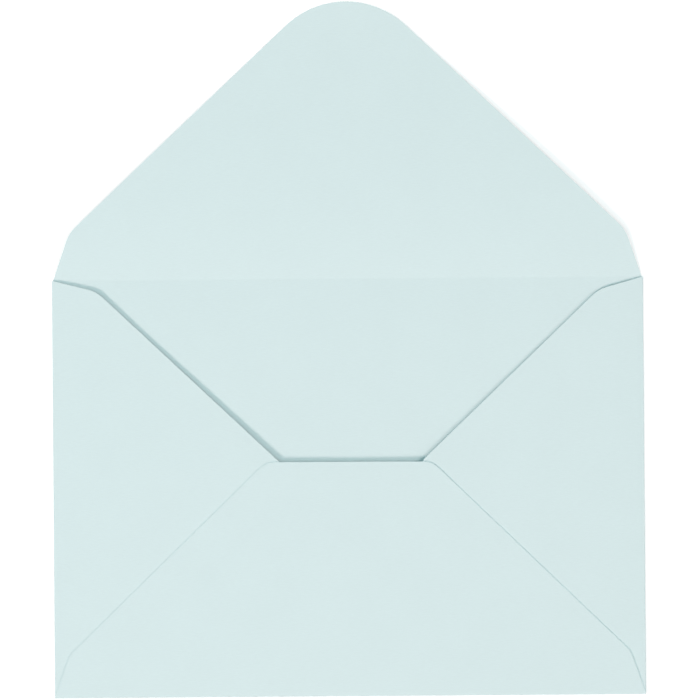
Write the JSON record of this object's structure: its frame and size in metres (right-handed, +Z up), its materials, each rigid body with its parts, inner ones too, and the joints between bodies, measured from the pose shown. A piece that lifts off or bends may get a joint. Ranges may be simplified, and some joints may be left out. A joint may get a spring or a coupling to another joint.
{
  "type": "paper envelope",
  "caption": "Pale blue paper envelope, open and empty, lying on its front panel with its pointed top flap laid back and its side and bottom flaps folded into a pocket.",
  "frame": {"origin": "centre of the front panel's outer face, which lies on the surface", "axes": "+X across the envelope to its right side fold, +Y up the envelope to the tip of the opened top flap, +Z up from the surface through the pocket"},
  "size_m": [0.162, 0.1904, 0.0018],
  "materials": {
    "paper": "uncoated matt paper, the same pale blue on both sides"
  },
  "bodies": {
    "root": {"envelope": "paper"}
  },
  "joints": []
}
